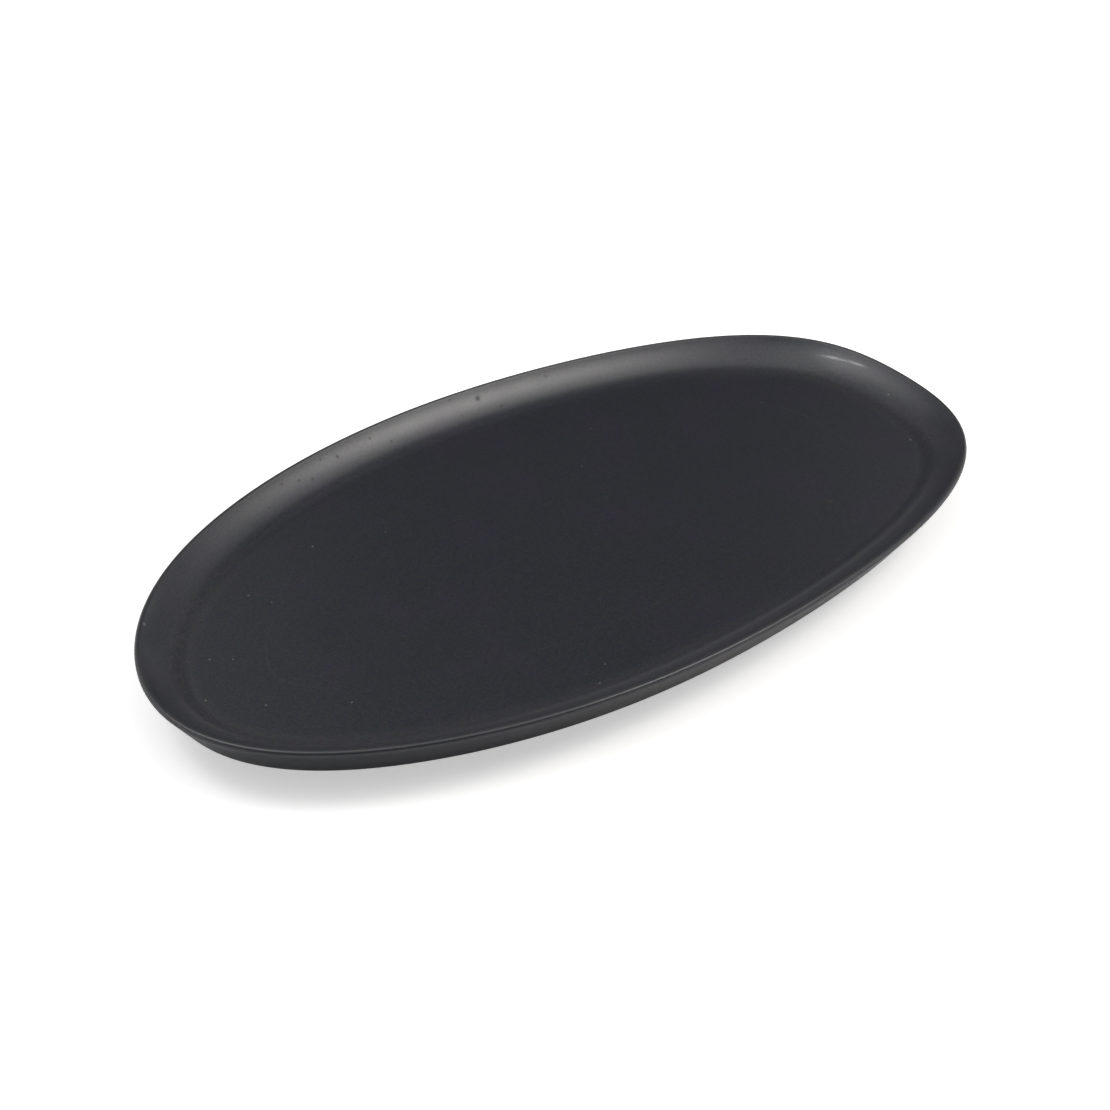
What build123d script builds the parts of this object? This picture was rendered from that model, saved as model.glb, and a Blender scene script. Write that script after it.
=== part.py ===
"""A shallow oval dish in one piece of dark glazed stoneware.

Frame: millimetres, +Z up, the table at Z = 0. X runs along the dish, Y across it, and the origin is
on the table under the middle of the rim's bounding box.
"""
from build123d import *
import os
from math import cos, pi, radians, sin, tan

# Rim, seen from above
LENGTH = 240.0
WIDTH = 134.0
SLENDERNESS = 0.553          # width over length of the ellipse that the outline departs from
COSINE_TERMS = {3: -0.0059, 4: -0.0141, 5: -0.0083, 6: -0.0038}     # full shoulders, blunter at +X
SINE_TERMS = {3: -0.0102, 4: 0.0042, 6: 0.0019}                     # the drift of a hand-shaped oval
OUTLINE_POINTS = 56

# Heights
RIM_HEIGHT = 16.4            # from the table to the top of the rim
INNER_DEPTH = 6.5            # from the top of the rim down to the flat floor
FLOOR_THICKNESS = 6.5        # inside the foot ring
HEEL_HEIGHT = 1.0            # from the table to the underside outside the foot ring

# Section through the wall
LIP_RADIUS = 0.8
INNER_SLOPE = radians(48.0)  # inner wall at the lip, from the horizontal
COVE_SLOPE = radians(30.0)   # where the hollow inner wall passes into the cove
COVE_RADIUS = 9.0            # where the cove runs out into the floor
OUTER_LEAN = radians(32.5)   # outer wall, from the vertical
HEEL_RADIUS = 13.0           # where the outer wall turns under

# Foot ring
FOOT_INSET = 20.0            # from the rim's outer edge in to the foot's outer face
FOOT_WIDTH = 4.0
FOOT_TAPER = radians(12.0)   # inner face of the foot, from the vertical
FOOT_ROUNDING = 0.6          # at the edges of the foot's underside
FOOT_GRIND = 0.05            # ground off the foot, so that the dish stands flat
RECESS_FILLET = 2.0          # between the foot and the underside of the floor
HEEL_FILLET = 0.3            # between the foot and the underside outside it

# How far the swept wall and the flat floor lap into each other
FLOOR_LAP = 3.0

FLOOR_TOP = RIM_HEIGHT - INNER_DEPTH
RECESS_TOP = FLOOR_TOP - FLOOR_THICKNESS


def raw_point(angle):
    """A point of the outline before it is brought to LENGTH and WIDTH."""
    waves = sum(size * cos(order * angle) for order, size in COSINE_TERMS.items())
    waves += sum(size * sin(order * angle) for order, size in SINE_TERMS.items())
    return Vector((1 + waves) * cos(angle), (1 + waves) * SLENDERNESS * sin(angle))


def raw_limits(axis):
    """The lowest and highest X or Y of the raw outline."""
    places = [getattr(raw_point(2 * pi * step / 3600), axis) for step in range(3600)]
    return min(places), max(places)


LOW_X, HIGH_X = raw_limits("X")
LOW_Y, HIGH_Y = raw_limits("Y")


def outline_point(angle):
    """A point of the rim's outer edge, seen from above, centred on the origin."""
    raw = raw_point(angle)
    x = LENGTH * ((raw.X - LOW_X) / (HIGH_X - LOW_X) - 0.5)
    y = WIDTH * ((raw.Y - LOW_Y) / (HIGH_Y - LOW_Y) - 0.5)
    return Vector(x, y)


def inset_outline(inset):
    """The rim's outer edge moved inwards by inset, as one smooth closed curve at Z = 0."""
    points = []
    for step in range(OUTLINE_POINTS):
        angle = 2 * pi * step / OUTLINE_POINTS
        along = outline_point(angle + 0.001) - outline_point(angle - 0.001)
        inwards = Vector(-along.Y, along.X).normalized()
        points.append(outline_point(angle) + inwards * inset)
    return Spline(*points, periodic=True)


RIM_LINE = inset_outline(0)

# Across the rim line, local X is the distance inwards and local Y the height above the table
ALONG = RIM_LINE % 0
ACROSS = Plane(origin=RIM_LINE @ 0, x_dir=(-ALONG.Y, ALONG.X, 0), z_dir=ALONG)


def arc_about(middle, radius, first, last):
    """An arc about middle, from one direction to another, both angles from local X."""
    spokes = [Vector(cos(angle), sin(angle)) * radius for angle in (first, (first + last) / 2, last)]
    return ThreePointArc(*[middle + spoke for spoke in spokes])


def wall_section():
    """The section from the rim in to the edge of the floor, and how far in that edge lies."""
    lip_middle = Vector(LIP_RADIUS, RIM_HEIGHT - LIP_RADIUS)
    lip = arc_about(lip_middle, LIP_RADIUS, pi + OUTER_LEAN, pi / 2 - INNER_SLOPE)
    lip_outer = lip @ 0
    lip_inner = lip @ 1

    hollow_drop = lip_inner.Y - FLOOR_TOP - COVE_RADIUS * (1 - cos(COVE_SLOPE))
    hollow_radius = hollow_drop / (cos(COVE_SLOPE) - cos(INNER_SLOPE))
    hollow_middle = lip_inner + Vector(sin(INNER_SLOPE), cos(INNER_SLOPE)) * hollow_radius
    hollow = arc_about(hollow_middle, hollow_radius, -pi / 2 - INNER_SLOPE, -pi / 2 - COVE_SLOPE)
    cove_x = (hollow @ 1).X + COVE_RADIUS * sin(COVE_SLOPE)
    cove_middle = Vector(cove_x, FLOOR_TOP + COVE_RADIUS)
    cove = arc_about(cove_middle, COVE_RADIUS, -pi / 2 - COVE_SLOPE, -pi / 2)

    lean_drop = lip_outer.Y - HEEL_HEIGHT - HEEL_RADIUS * (1 - sin(OUTER_LEAN))
    heel_x = lip_outer.X + lean_drop * tan(OUTER_LEAN) + HEEL_RADIUS * cos(OUTER_LEAN)
    heel_middle = Vector(heel_x, HEEL_HEIGHT + HEEL_RADIUS)
    heel = arc_about(heel_middle, HEEL_RADIUS, 3 * pi / 2, pi + OUTER_LEAN)

    foot_inner = FOOT_INSET + FOOT_WIDTH
    recess_start = foot_inner + (RECESS_TOP + FOOT_GRIND) * tan(FOOT_TAPER)
    reach = max(recess_start + RECESS_FILLET, cove_x) + FLOOR_LAP
    underside = FilletPolyline(
        (reach, RECESS_TOP),
        (recess_start, RECESS_TOP),
        (foot_inner, -FOOT_GRIND),
        (FOOT_INSET, -FOOT_GRIND),
        (FOOT_INSET, HEEL_HEIGHT),
        heel @ 0,
        radius=(RECESS_FILLET, FOOT_ROUNDING, FOOT_ROUNDING, HEEL_FILLET),
    )
    floor_edge = Polyline(cove @ 1, (reach, FLOOR_TOP), (reach, RECESS_TOP))
    outer_wall = Line(heel @ 1, lip_outer)
    outline = Curve() + [lip, hollow, cove, floor_edge, underside, heel, outer_wall]
    return make_face(outline).face(), reach


def make_dish():
    """The wall, swept once round the rim line, joined to the flat floor, its foot ground flat."""
    section, reach = wall_section()
    wall = Solid.sweep(ACROSS.location * section, Wire([RIM_LINE.edge()]))
    floor_outline = Wire([inset_outline(reach - FLOOR_LAP / 2).edge()])
    floor = extrude(Pos(0, 0, RECESS_TOP) * Face(floor_outline), FLOOR_THICKNESS, dir=(0, 0, 1))
    return split((wall + floor).clean(), bisect_by=Plane.XY, keep=Keep.TOP)


dish = make_dish()
dish.label = "oval_dish"

os.makedirs("parts", exist_ok=True)
export_step(dish, "parts/oval_dish.step")
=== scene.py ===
"""The looks of a shallow oval dish in satin black stoneware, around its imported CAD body.

The dish is drawn again here as one smooth mesh of quads, from the same section and rim line as
its CAD solid, so that its soft highlights have no facets in them. Everything is in metres, in
the CAD model's own frame: +X along the dish, +Y across it, +Z up.
"""
from math import atan2, cos, pi, radians, sin, tan

import bpy
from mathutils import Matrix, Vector


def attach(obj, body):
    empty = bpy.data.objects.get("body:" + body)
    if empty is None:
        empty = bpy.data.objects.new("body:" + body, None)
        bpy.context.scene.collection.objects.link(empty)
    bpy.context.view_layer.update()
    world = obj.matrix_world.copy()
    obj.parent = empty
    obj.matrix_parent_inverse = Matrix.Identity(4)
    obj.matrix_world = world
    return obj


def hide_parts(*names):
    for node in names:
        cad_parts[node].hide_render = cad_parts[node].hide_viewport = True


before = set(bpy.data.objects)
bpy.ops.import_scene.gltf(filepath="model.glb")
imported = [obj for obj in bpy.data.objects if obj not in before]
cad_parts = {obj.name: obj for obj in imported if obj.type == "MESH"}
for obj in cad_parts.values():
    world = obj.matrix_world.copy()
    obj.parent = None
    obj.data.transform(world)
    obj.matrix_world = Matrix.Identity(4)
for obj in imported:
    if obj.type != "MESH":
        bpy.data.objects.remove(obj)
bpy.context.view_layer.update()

MM = 0.001

# The rim line, seen from above, and the wall's section: the CAD model's named values, in mm.
LENGTH = 240.0
WIDTH = 134.0
SLENDERNESS = 0.553
COSINE_TERMS = {3: -0.0059, 4: -0.0141, 5: -0.0083, 6: -0.0038}
SINE_TERMS = {3: -0.0102, 4: 0.0042, 6: 0.0019}
RIM_HEIGHT = 16.4
INNER_DEPTH = 6.5
FLOOR_THICKNESS = 6.5
HEEL_HEIGHT = 1.0
LIP_RADIUS = 0.8
INNER_SLOPE = radians(48)
COVE_SLOPE = radians(30)
COVE_RADIUS = 9.0
OUTER_LEAN = radians(32.5)
HEEL_RADIUS = 13.0
FOOT_INSET = 20.0
FOOT_WIDTH = 4.0
FOOT_TAPER = radians(12)
FOOT_ROUNDING = 0.6
RECESS_FILLET = 2.0
HEEL_FILLET = 0.3
FLOOR_LAP = 3.0
FLOOR_TOP = RIM_HEIGHT - INNER_DEPTH
RECESS_TOP = FLOOR_TOP - FLOOR_THICKNESS

# The mesh: points round the rim, the longest step along the section in mm, the steps in each of
# its arcs, and how finely and over what turn the rim line is measured.
AROUND = 448
LONGEST_STEP = 1.0
COVE_STEPS = 8
HOLLOW_STEPS = 16
LIP_STEPS = 32
HEEL_STEPS = 24
HEEL_FILLET_STEPS = 6
FOOT_STEPS = 8
RECESS_STEPS = 10
SAMPLES = 3600
SMALL_TURN = 0.001

# The camera, fitted to the outline of the dish in the photograph.
CAMERA_PLACE = Vector((-0.2413, -0.3187, 0.2963))
CAMERA_TARGET = Vector((-0.0133, -0.0129, 0.0164))
SENSOR = 36.0
LENS = 61.36

# The studio: small soft boxes side by side on a dome about the dish, which together make a
# bright window on the picture's right, another on its left, and dimmer light between them.
# An azimuth is counted clockwise from straight behind the dish as the camera sees it, so 90 is
# on the picture's right.
DOME_RADIUS = 1.1
BOXES = {
    # side: elevation: azimuth and radiance of each box on that ring
    0.30: {
        8: [(0, 0.34), (22.5, 0.48), (45, 1.35), (67.5, 2.30), (90, 2.64), (112.5, 2.84),
            (135, 1.08), (202.5, 0.32), (225, 0.97), (247.5, 2.30), (270, 1.76), (292.5, 1.27),
            (315, 1.14), (337.5, 0.24)],
        24: [(22.5, 0.19), (45, 0.42), (67.5, 0.94), (247.5, 1.20), (270, 1.14), (292.5, 1.19),
            (315, 0.34), (337.5, 0.28)],
        40: [(25.7, 0.25), (51.4, 0.67), (308.6, 0.79), (334.3, 0.26)],
        56: [(0, 0.27), (60, 0.56), (150, 1.31), (180, 0.20), (210, 1.10), (330, 0.57)],
        72: [(0, 0.96), (45, 0.60), (90, 0.82), (135, 0.97), (180, 1.47), (225, 1.62), (270, 1.83),
            (315, 0.68)],
        90: [(0, 1.61)],
    },
    0.16: {
        34: [(70, 1.06), (80, 0.55)],
        42: [(70, 2.19), (80, 4.60), (90, 1.10)],
        44: [(240, 0.51), (252, 1.24), (264, 0.79), (276, 1.86), (288, 3.38), (300, 0.96)],
        50: [(70, 1.35), (80, 3.90), (90, 7.95), (100, 8.80), (110, 4.60)],
        54: [(240, 1.56), (252, 1.52), (264, 3.52), (276, 6.28), (288, 4.94), (300, 2.10)],
        58: [(80, 3.60), (90, 8.55), (100, 7.95), (110, 3.50), (120, 0.91), (130, 2.85)],
        64: [(240, 3.42), (252, 3.09), (264, 3.88), (276, 3.36), (288, 1.65), (300, 1.51)],
        66: [(80, 1.26), (90, 1.01)],
    },
}
# The small boxes on the picture's right are a little warm. An azimuth under this is on the right.
WARM_LIGHT = (1.0, 0.97, 0.94)
HALF_TURN = 180

# The floor, in metres: its half side, how far it lies below the ground foot, so that the two flats
# don't coincide, its paper's colour, and the glow that only the camera sees, with the distances
# from the dish between which it rises.
FLOOR_HALF = 6.0
FLOOR_GAP = 0.02 * MM
PAPER_WHITE = (0.8, 0.8, 0.8, 1)
GLOW_NEAR = 0.25
GLOW_FAR = 1.2
GLOW_LOW = 0.5
GLOW_FULL = 1.0

# The glaze's colours, those of the marks on it, and the bare clay of the foot.
NEUTRAL_BLACK = (0.0247, 0.0258, 0.0320, 1)
COOL_BLACK = (0.0235, 0.0260, 0.0318, 1)
VIOLET_BLACK = (0.0254, 0.0251, 0.0338, 1)
# Painted light: a paler tone that lifts the shade of the cove and the near inner wall.
COVE_PAINTED_LIGHT = (0.0335, 0.0342, 0.0392, 1)
WORN_GLAZE = (0.0440, 0.0430, 0.0440, 1)
# Painted highlight: the pale grey of the glint.
GLINT_PAINTED_HIGHLIGHT = (0.0900, 0.0900, 0.0900, 1)
# Painted shade: the darker colour inside each pinhole.
PIT_PAINTED_SHADE = (0.0100, 0.0100, 0.0110, 1)
SPECK_GREY = (0.1200, 0.1200, 0.1160, 1)
SMUDGE_BROWN = (0.0600, 0.0480, 0.0380, 1)
BARE_CLAY = (0.0950, 0.0840, 0.0740, 1)
# The smoothest glaze's roughness, and how much rougher the patches are. Nowhere but in the glint
# is it under 0.274, where the denoiser starts to treat a surface as a mirror and would draw the
# edges of each patch.
GLAZE_ROUGHNESS = 0.277
PATCH_ROUGHNESS = 0.024

# The glaze's textures, in waves or cells to the metre.
CLOUD_WAVES = 16
PATCH_WAVES = 60
PEEL_WAVES = 170
GRAIN_WAVES = 1500
STREAK_WAVES = 420
SPECK_CELLS = 120

# How far each mark changes the roughness, and how far each texture and mark stands up, in mm.
STREAK_ROUGHNESS = 0.05
PIT_ROUGHNESS = 0.15
SPECK_ROUGHNESS = 0.16
CLAY_ROUGHNESS = 0.55
GLINT_ROUGHNESS = -0.19
PEEL_HEIGHT = 0.0030
GRAIN_HEIGHT = 0.0008
STREAK_HEIGHT = 0.0030
PIT_HEIGHT = -0.015
SPECK_HEIGHT = 0.015

# The grain's darkest shade, and how much it adds to that; the random specks' radius in mm, and
# how strongly they show.
GRAIN_LOW = (0.55, 0.55, 0.55)
GRAIN_SPAN = (0.9, 0.9, 0.9)
FAINT_RADIUS = 0.22
FAINT_SHARE = 0.4

# Marks, each as x, y, z and radius in mm.
PALE_SPECKS = [
    (-108.2, 23.9, 15.9, 0.50), (-55.8, 34.5, 9.9, 0.30), (-79.3, 26.1, 9.9, 0.26),
    (113.7, -2.8, 11.9, 0.32), (104.1, -21.4, 9.9, 0.34), (36.0, 36.5, 9.9, 0.26),
    (-106.9, -3.1, 9.9, 0.30), (-76.0, 20.4, 9.9, 0.22), (83.9, 18.1, 9.9, 0.24),
    (-37.3, 28.7, 9.9, 0.22), (22.4, 22.8, 9.9, 0.22), (-99.0, 9.7, 9.9, 0.26),
    (-94.5, 6.4, 9.9, 0.22), (-96.5, -12.9, 9.9, 0.26), (-80.1, -23.9, 9.9, 0.26),
    (-108.0, -20.3, 11.0, 0.26), (-24.7, -47.9, 9.9, 0.22), (-29.9, -52.7, 9.9, 0.24),
]
PITS = [
    (15.8, 62.9, 14.2, 0.80), (-31.7, 61.2, 14.0, 0.55),
    (21.4, 59.1, 11.7, 0.60), (-45.6, 57.9, 13.6, 0.50), (38.1, 60.6, 14.6, 0.40),
    (-14.6, 61.0, 12.4, 0.45), (-41.7, 57.7, 12.7, 0.50), (-57.6, 53.1, 12.5, 0.45),
    (8.8, 60.8, 12.2, 0.40), (-36.9, 61.4, 15.0, 0.40), (7.6, 64.9, 15.6, 0.35),
    (-50.9, 57.8, 14.6, 0.40), (-20.1, 63.1, 14.5, 0.45),
]
SMUDGES = [(-22.6, -65.1, 13.9, 1.4), (-25.9, -65.4, 15.0, 1.0), (-2.2, -64.5, 11.5, 2.0),
           (65.2, -30.3, 9.9, 0.8)]

# The glint's line: its height in mm at y = 0, its slope along y, and half its width in mm.
GLINT_START = 14.93
GLINT_RISE = -0.0563
GLINT_HALF_WIDTH = 0.40


# ---------------------------------------------------------------- the dish's mesh

def raw_point(angle):
    """A point of the rim line before it is brought to its length and width."""
    waves = sum(size * cos(order * angle) for order, size in COSINE_TERMS.items())
    waves += sum(size * sin(order * angle) for order, size in SINE_TERMS.items())
    return Vector(((1 + waves) * cos(angle), (1 + waves) * SLENDERNESS * sin(angle)))


RAW_LINE = [raw_point(2 * pi * step / SAMPLES) for step in range(SAMPLES)]
RAW_LOW = Vector((min(p.x for p in RAW_LINE), min(p.y for p in RAW_LINE)))
RAW_HIGH = Vector((max(p.x for p in RAW_LINE), max(p.y for p in RAW_LINE)))


def outline_point(angle):
    """A point of the rim line, in mm, about the middle of its box."""
    raw = raw_point(angle)
    span = RAW_HIGH - RAW_LOW
    across = WIDTH * ((raw.y - RAW_LOW.y) / span.y - 0.5)
    return Vector((LENGTH * ((raw.x - RAW_LOW.x) / span.x - 0.5), across))


def inset_ring(inset, height):
    """The rim line moved inwards and set at a height, as points in metres."""
    ring = []
    for step in range(AROUND):
        angle = 2 * pi * step / AROUND
        along = outline_point(angle + SMALL_TURN) - outline_point(angle - SMALL_TURN)
        inwards = Vector((-along.y, along.x)).normalized()
        place = outline_point(angle) + inwards * inset
        ring.append(Vector((place.x, place.y, height)) * MM)
    return ring


def arc(middle, radius, start, end, steps):
    """Points of an arc about a middle, from one angle to another."""
    turns = [start + (end - start) * step / steps for step in range(steps + 1)]
    return [middle + Vector((cos(turn), sin(turn))) * radius for turn in turns]


def rounded(corners):
    """A line through corners, each given as x, z, radius and steps of its rounding."""
    points = []
    for index, (x, z, radius, steps) in enumerate(corners):
        corner = Vector((x, z))
        if radius == 0:
            points.append(corner)
            continue
        back = (Vector(corners[index - 1][:2]) - corner).normalized()
        ahead = (Vector(corners[index + 1][:2]) - corner).normalized()
        half = back.angle(ahead) / 2
        middle = corner + (back + ahead).normalized() * (radius / sin(half))
        first = corner + back * (radius / tan(half)) - middle
        last = corner + ahead * (radius / tan(half)) - middle
        start = atan2(first.y, first.x)
        turn = (atan2(last.y, last.x) - start + pi) % (2 * pi) - pi
        points += arc(middle, radius, start, start + turn, steps)
    return points


def section():
    """The section from the floor's edge up over the lip and down to the underside of the floor."""
    lip_middle = Vector((LIP_RADIUS, RIM_HEIGHT - LIP_RADIUS))
    inner_face = Vector((sin(INNER_SLOPE), cos(INNER_SLOPE)))
    lip_inner = lip_middle + inner_face * LIP_RADIUS
    lip_outer = lip_middle - Vector((cos(OUTER_LEAN), sin(OUTER_LEAN))) * LIP_RADIUS

    hollow_drop = lip_inner.y - FLOOR_TOP - COVE_RADIUS * (1 - cos(COVE_SLOPE))
    hollow_radius = hollow_drop / (cos(COVE_SLOPE) - cos(INNER_SLOPE))
    hollow_middle = lip_inner + inner_face * hollow_radius
    cove_x = hollow_middle.x - (hollow_radius - COVE_RADIUS) * sin(COVE_SLOPE)
    cove_middle = Vector((cove_x, FLOOR_TOP + COVE_RADIUS))

    lean_drop = lip_outer.y - HEEL_HEIGHT - HEEL_RADIUS * (1 - sin(OUTER_LEAN))
    heel_x = lip_outer.x + lean_drop * tan(OUTER_LEAN) + HEEL_RADIUS * cos(OUTER_LEAN)
    heel_middle = Vector((heel_x, HEEL_HEIGHT + HEEL_RADIUS))

    foot_inner = FOOT_INSET + FOOT_WIDTH
    recess_start = foot_inner + RECESS_TOP * tan(FOOT_TAPER)
    reach = recess_start + RECESS_FILLET + FLOOR_LAP
    inside = arc(cove_middle, COVE_RADIUS, -pi / 2, -pi / 2 - COVE_SLOPE, COVE_STEPS)
    inside += arc(hollow_middle, hollow_radius, -pi / 2 - COVE_SLOPE, -pi / 2 - INNER_SLOPE,
                  HOLLOW_STEPS)[1:]
    lip = arc(lip_middle, LIP_RADIUS, pi / 2 - INNER_SLOPE, pi + OUTER_LEAN, LIP_STEPS)[1:]
    heel = arc(heel_middle, HEEL_RADIUS, pi + OUTER_LEAN, 3 * pi / 2, HEEL_STEPS)
    underside = rounded([
        (heel[-1].x, heel[-1].y, 0, 0),
        (FOOT_INSET, HEEL_HEIGHT, HEEL_FILLET, HEEL_FILLET_STEPS),
        (FOOT_INSET, 0, FOOT_ROUNDING, FOOT_STEPS),
        (foot_inner, 0, FOOT_ROUNDING, FOOT_STEPS),
        (recess_start, RECESS_TOP, RECESS_FILLET, RECESS_STEPS),
        (reach, RECESS_TOP, 0, 0),
    ])[1:]
    return [Vector((reach, FLOOR_TOP))] + inside + lip + heel + underside


def short_steps(points):
    """The same line with no step longer than LONGEST_STEP."""
    line = [points[0]]
    for start, end in zip(points, points[1:]):
        count = max(1, int((end - start).length / LONGEST_STEP + 0.999))
        line += [start + (end - start) * step / count for step in range(1, count + 1)]
    return line


def fill_ring(verts, faces, base, flip):
    """Fills a ring of AROUND points with a smooth patch of quads, four sides blended together."""
    side = AROUND // 4
    turn = AROUND // 8
    grid = [[None] * (side + 1) for _ in range(side + 1)]
    for step in range(side + 1):
        grid[side][step] = base + (step - turn) % AROUND
        grid[side - step][side] = base + (side - turn + step) % AROUND
        grid[0][side - step] = base + (2 * side - turn + step) % AROUND
        grid[step][0] = base + (3 * side - turn + step) % AROUND
    low_left, low_right = verts[grid[0][0]], verts[grid[side][0]]
    high_left, high_right = verts[grid[0][side]], verts[grid[side][side]]
    for column in range(1, side):
        for row in range(1, side):
            s, t = column / side, row / side
            edges = verts[grid[0][row]] * (1 - s) + verts[grid[side][row]] * s
            edges += verts[grid[column][0]] * (1 - t) + verts[grid[column][side]] * t
            corners = low_left * (1 - s) * (1 - t) + low_right * s * (1 - t)
            corners += high_left * (1 - s) * t + high_right * s * t
            grid[column][row] = len(verts)
            verts.append(edges - corners)
    for column in range(side):
        for row in range(side):
            face = (grid[column][row], grid[column + 1][row])
            face += (grid[column + 1][row + 1], grid[column][row + 1])
            faces.append(face[::-1] if flip else face)


def dish_mesh():
    """The whole dish: its section carried round the rim line, and its two flat patches."""
    line = short_steps(section())
    verts, faces = [], []
    for point in line:
        verts += inset_ring(point.x, point.y)
    for ring in range(len(line) - 1):
        for step in range(AROUND):
            here = ring * AROUND + step
            beside = ring * AROUND + (step + 1) % AROUND
            faces.append((here, here + AROUND, beside + AROUND, beside))
    fill_ring(verts, faces, 0, False)
    fill_ring(verts, faces, (len(line) - 1) * AROUND, True)
    mesh = bpy.data.meshes.new("oval_dish_surface")
    mesh.from_pydata(verts, [], faces)
    mesh.validate()
    mesh.shade_smooth()

    # Where the nearest point of the rim line lies: textures read it to run across the wall.
    rim = inset_ring(0.0, RIM_HEIGHT)
    rim_place = mesh.attributes.new("rim_place", "FLOAT_VECTOR", "POINT")
    for index, vert in enumerate(mesh.vertices):
        if index < len(line) * AROUND:
            rim_place.data[index].vector = rim[index % AROUND]
        else:
            rim_place.data[index].vector = vert.co
    return mesh


# ---------------------------------------------------------------- materials

def add(tree, kind, inputs=None, **settings):
    """A new node, with its settings, and each input given a value or linked to a socket."""
    node = tree.nodes.new(kind)
    for name, value in settings.items():
        setattr(node, name, value)
    for key, value in (inputs or {}).items():
        if isinstance(value, bpy.types.NodeSocket):
            tree.links.new(value, node.inputs[key])
        else:
            node.inputs[key].default_value = value
    return node


def noise(tree, place, scale, detail, seed):
    """Soft noise, about 0.5, of this many waves to the metre."""
    inputs = {"Vector": place, "W": seed, "Scale": scale, "Detail": detail, "Roughness": 0.55}
    return add(tree, "ShaderNodeTexNoise", inputs, noise_dimensions="4D").outputs["Fac"]


def ranged(tree, value, low, high, new_low=0.0, new_high=1.0):
    """A value carried smoothly from one range to another, and held inside it."""
    inputs = {"Value": value, "From Min": low, "From Max": high}
    inputs.update({"To Min": new_low, "To Max": new_high})
    return add(tree, "ShaderNodeMapRange", inputs, interpolation_type="SMOOTHSTEP").outputs[0]


def maths(tree, operation, first, second):
    """One Math node on two values."""
    return add(tree, "ShaderNodeMath", {0: first, 1: second}, operation=operation).outputs[0]


def mixed(tree, share, first, second):
    """One colour passing into another."""
    inputs = {0: share, 6: first, 7: second}
    return add(tree, "ShaderNodeMix", inputs, data_type="RGBA").outputs[2]


def spots(tree, place, marks):
    """How far a place lies inside any of these marks."""
    covered = None
    for x, y, z, radius in marks:
        ends = {0: place, 1: Vector((x, y, z)) * MM}
        away = add(tree, "ShaderNodeVectorMath", ends, operation="DISTANCE").outputs["Value"]
        inside = ranged(tree, away, 1.3 * radius * MM, 0.4 * radius * MM)
        covered = inside if covered is None else maths(tree, "MAXIMUM", covered, inside)
    return covered


def scattered_specks(tree, place, cells, radius):
    """Specks at random: one wherever the middle of a Voronoi cell falls near the surface."""
    away = add(tree, "ShaderNodeTexVoronoi", {"Vector": place, "Scale": cells}).outputs["Distance"]
    return ranged(tree, away, radius * MM * cells, 0.4 * radius * MM * cells)


def painted_cove_light(tree, place, rim, parts):
    """Painted light: a slightly paler band at the foot of the inner wall, lifting its shade, least
    at the near right.
    """
    ends = {0: place, 1: rim}
    away = add(tree, "ShaderNodeVectorMath", ends, operation="DISTANCE").outputs["Value"]
    rising = ranged(tree, away, 3.0 * MM, 11.0 * MM)
    falling = ranged(tree, away, 16.2 * MM, 12.8 * MM)
    from_back = ranged(tree, parts["Y"], 48 * MM, 24 * MM)
    from_right = ranged(tree, parts["X"], 60 * MM, -20 * MM, 0.35, 1.0)
    from_near = ranged(tree, parts["Y"], -40 * MM, 10 * MM, 0.35, 1.0)
    band = maths(tree, "MULTIPLY", rising, falling)
    for limit in (from_back, maths(tree, "MAXIMUM", from_right, from_near)):
        band = maths(tree, "MULTIPLY", band, limit)
    return band


def glint_streak(tree, parts):
    """A thin smooth streak along the far right of the inner wall, which rises as it goes: a
    painted highlight.
    """
    along = parts["Y"]
    line = add(tree, "ShaderNodeMath", {0: along, 1: GLINT_RISE, 2: GLINT_START * MM},
               operation="MULTIPLY_ADD").outputs[0]
    off = maths(tree, "ABSOLUTE", maths(tree, "SUBTRACT", parts["Z"], line), 0.0)
    streak = ranged(tree, off, GLINT_HALF_WIDTH * MM, 0.0)
    for limit in (ranged(tree, along, 7.5 * MM, 13 * MM), ranged(tree, along, 25.5 * MM, 20 * MM),
                  ranged(tree, parts["X"], 100 * MM, 101 * MM)):
        streak = maths(tree, "MULTIPLY", streak, limit)
    return streak


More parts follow.
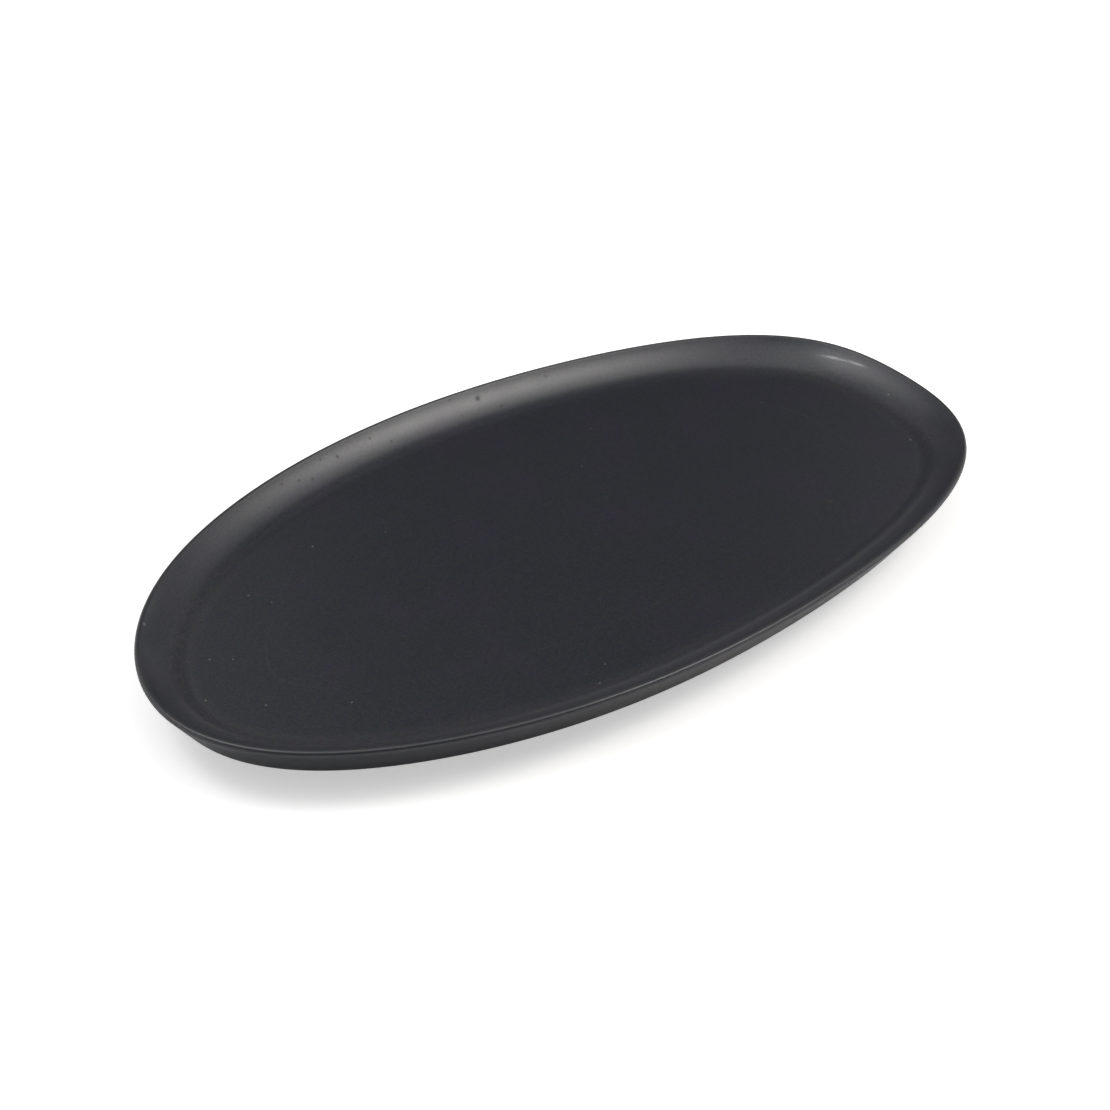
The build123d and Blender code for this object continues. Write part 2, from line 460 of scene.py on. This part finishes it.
def glaze_material():
    """Satin black glaze, faintly clouded, with pinholes, pale specks and a bare ground foot; the
    cove's light, the pinholes' shade and the glint are painted.
    """
    material = bpy.data.materials.new("clouded_black_glaze")
    material.use_nodes = True
    tree = material.node_tree
    shader = tree.nodes["Principled BSDF"]
    place = add(tree, "ShaderNodeTexCoord").outputs["Object"]
    parts = add(tree, "ShaderNodeSeparateXYZ", {0: place}).outputs
    rim = add(tree, "ShaderNodeAttribute", attribute_name="rim_place").outputs["Vector"]

    clouds = noise(tree, place, CLOUD_WAVES, 1, 1.3)
    patches = noise(tree, place, PATCH_WAVES, 1, 4.7)
    peel = noise(tree, place, PEEL_WAVES, 2, 2.9)
    grain = noise(tree, place, GRAIN_WAVES, 2, 7.1)
    tinted_grain = grain.node.outputs["Color"]
    on_wall = ranged(tree, parts["Z"], (FLOOR_TOP + 0.3) * MM, (FLOOR_TOP + 2.5) * MM)
    streaks = maths(tree, "MULTIPLY", noise(tree, rim, STREAK_WAVES, 2, 5.5), on_wall)
    pits_and_painted_shade = spots(tree, place, PITS)
    random_specks = scattered_specks(tree, place, SPECK_CELLS, FAINT_RADIUS)
    faint_specks = maths(tree, "MULTIPLY", random_specks, FAINT_SHARE)
    specks = maths(tree, "MAXIMUM", spots(tree, place, PALE_SPECKS), faint_specks)
    smudge = maths(tree, "MULTIPLY", spots(tree, place, SMUDGES), grain)
    glint = glint_streak(tree, parts)
    lip = maths(tree, "MULTIPLY", ranged(tree, parts["Z"], 16.0 * MM, 16.3 * MM), patches)
    edge = add(tree, "ShaderNodeMath", {0: grain, 1: 0.3 * MM, 2: parts["Z"]},
               operation="MULTIPLY_ADD").outputs[0]
    ground = ranged(tree, edge, 0.44 * MM, 0.36 * MM)

    colour = mixed(tree, ranged(tree, clouds, 0.40, 0.60), NEUTRAL_BLACK, COOL_BLACK)
    colour = mixed(tree, ranged(tree, patches, 0.46, 0.64), colour, VIOLET_BLACK)
    # Painted light: the cove and the near inner wall are lightened, least at the near right.
    colour = mixed(tree, painted_cove_light(tree, place, rim, parts), colour, COVE_PAINTED_LIGHT)
    for shade in (grain, tinted_grain):
        inputs = {0: shade, 1: GRAIN_SPAN, 2: GRAIN_LOW}
        shade = add(tree, "ShaderNodeVectorMath", inputs, operation="MULTIPLY_ADD").outputs[0]
        inputs = {0: colour, 1: shade}
        colour = add(tree, "ShaderNodeVectorMath", inputs, operation="MULTIPLY").outputs[0]
    colour = mixed(tree, lip, colour, WORN_GLAZE)
    # Painted highlight: the glint's streak is paler as well as smoother.
    colour = mixed(tree, glint, colour, GLINT_PAINTED_HIGHLIGHT)
    # Painted shade: each pinhole is darker, besides being a real hollow that is rougher.
    colour = mixed(tree, pits_and_painted_shade, colour, PIT_PAINTED_SHADE)
    colour = mixed(tree, smudge, colour, SMUDGE_BROWN)
    colour = mixed(tree, specks, colour, SPECK_GREY)
    colour = mixed(tree, ground, colour, BARE_CLAY)
    tree.links.new(colour, shader.inputs["Base Color"])

    roughest = GLAZE_ROUGHNESS + PATCH_ROUGHNESS
    rough = ranged(tree, patches, 0.2, 0.8, GLAZE_ROUGHNESS, roughest)
    for share, reach in ((streaks, STREAK_ROUGHNESS), (pits_and_painted_shade, PIT_ROUGHNESS),
                         (specks, SPECK_ROUGHNESS), (ground, CLAY_ROUGHNESS),
                         (glint, GLINT_ROUGHNESS)):
        inputs = {0: share, 1: reach, 2: rough}
        rough = add(tree, "ShaderNodeMath", inputs, operation="MULTIPLY_ADD").outputs[0]
    tree.links.new(rough, shader.inputs["Roughness"])

    height = maths(tree, "MULTIPLY", peel, PEEL_HEIGHT * MM)
    for share, depth in ((grain, GRAIN_HEIGHT), (streaks, STREAK_HEIGHT), (pits_and_painted_shade, PIT_HEIGHT),
                         (specks, SPECK_HEIGHT)):
        inputs = {0: share, 1: depth * MM, 2: height}
        height = add(tree, "ShaderNodeMath", inputs, operation="MULTIPLY_ADD").outputs[0]
    bump = add(tree, "ShaderNodeBump", {"Height": height, "Distance": 1.0, "Strength": 1.0})
    tree.links.new(bump.outputs["Normal"], shader.inputs["Normal"])
    return material


def floor_material():
    """Plain white paper, which the camera sees brighter than it lights the dish."""
    material = bpy.data.materials.new("white_paper")
    material.use_nodes = True
    tree = material.node_tree
    tree.nodes.clear()
    paper = add(tree, "ShaderNodeBsdfDiffuse", {"Color": PAPER_WHITE})
    place = add(tree, "ShaderNodeTexCoord").outputs["Object"]
    reach = add(tree, "ShaderNodeVectorMath", {0: place}, operation="LENGTH").outputs["Value"]
    glow = ranged(tree, reach, GLOW_NEAR, GLOW_FAR, GLOW_LOW, GLOW_FULL)
    seen = add(tree, "ShaderNodeLightPath").outputs["Is Camera Ray"]
    strength = maths(tree, "MULTIPLY", glow, seen)
    light = add(tree, "ShaderNodeEmission", {"Color": (1, 1, 1, 1), "Strength": strength})
    both = add(tree, "ShaderNodeAddShader", {0: paper.outputs[0], 1: light.outputs[0]})
    add(tree, "ShaderNodeOutputMaterial", {"Surface": both.outputs[0]})
    return material


# ---------------------------------------------------------------- the studio

def look_at(thing, target):
    """Turns a camera or lamp towards a point."""
    thing.rotation_euler = (target - thing.location).to_track_quat("-Z", "Y").to_euler()


def set_camera():
    """The camera, at the photograph's viewing angle."""
    data = bpy.data.cameras.new("camera")
    data.sensor_width = SENSOR
    data.lens = LENS
    camera = bpy.data.objects.new("camera", data)
    camera.location = CAMERA_PLACE
    look_at(camera, CAMERA_TARGET)
    bpy.context.scene.collection.objects.link(camera)
    bpy.context.scene.camera = camera


def set_lamps():
    """The soft boxes, each facing the dish. The camera doesn't see them."""
    view = CAMERA_TARGET - CAMERA_PLACE
    straight_behind = atan2(view.y, view.x)
    boxes = [(side, elevation, azimuth, radiance) for side, rings in BOXES.items()
             for elevation, ring in rings.items() for azimuth, radiance in ring]
    for side, elevation, azimuth, radiance in boxes:
        name = f"soft_box_{elevation}_{azimuth:.0f}"
        turn = straight_behind - radians(azimuth)
        tilt = radians(elevation)
        data = bpy.data.lights.new(name, "AREA")
        data.shape = "SQUARE"
        data.size = side
        data.energy = radiance * pi * side ** 2
        if side == min(BOXES) and azimuth < HALF_TURN:
            data.color = WARM_LIGHT
        lamp = bpy.data.objects.new(name, data)
        outwards = Vector((cos(tilt) * cos(turn), cos(tilt) * sin(turn), sin(tilt)))
        lamp.location = outwards * DOME_RADIUS
        look_at(lamp, Vector((0, 0, 0)))
        lamp.visible_camera = False
        bpy.context.scene.collection.objects.link(lamp)


def set_floor():
    """The paper that the dish stands on."""
    half = FLOOR_HALF
    mesh = bpy.data.meshes.new("floor")
    corners = [(-half, -half, 0), (half, -half, 0), (half, half, 0), (-half, half, 0)]
    mesh.from_pydata(corners, [], [(0, 1, 2, 3)])
    mesh.materials.append(floor_material())
    floor = bpy.data.objects.new("floor", mesh)
    floor.location.z = -FLOOR_GAP
    bpy.context.scene.collection.objects.link(floor)


def set_world():
    """A white background for the camera alone."""
    world = bpy.data.worlds.new("studio")
    world.use_nodes = True
    tree = world.node_tree
    seen = add(tree, "ShaderNodeLightPath").outputs["Is Camera Ray"]
    background = tree.nodes["Background"]
    background.inputs["Color"].default_value = (1, 1, 1, 1)
    tree.links.new(seen, background.inputs["Strength"])
    bpy.context.scene.world = world


# ---------------------------------------------------------------- the scene

bpy.context.scene.view_settings.view_transform = "Standard"
dish = bpy.data.objects.new("oval_dish_surface", dish_mesh())
dish.data.materials.append(glaze_material())
bpy.context.scene.collection.objects.link(dish)
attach(dish, "root")
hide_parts("oval_dish")
set_floor()
set_lamps()
set_world()
set_camera()
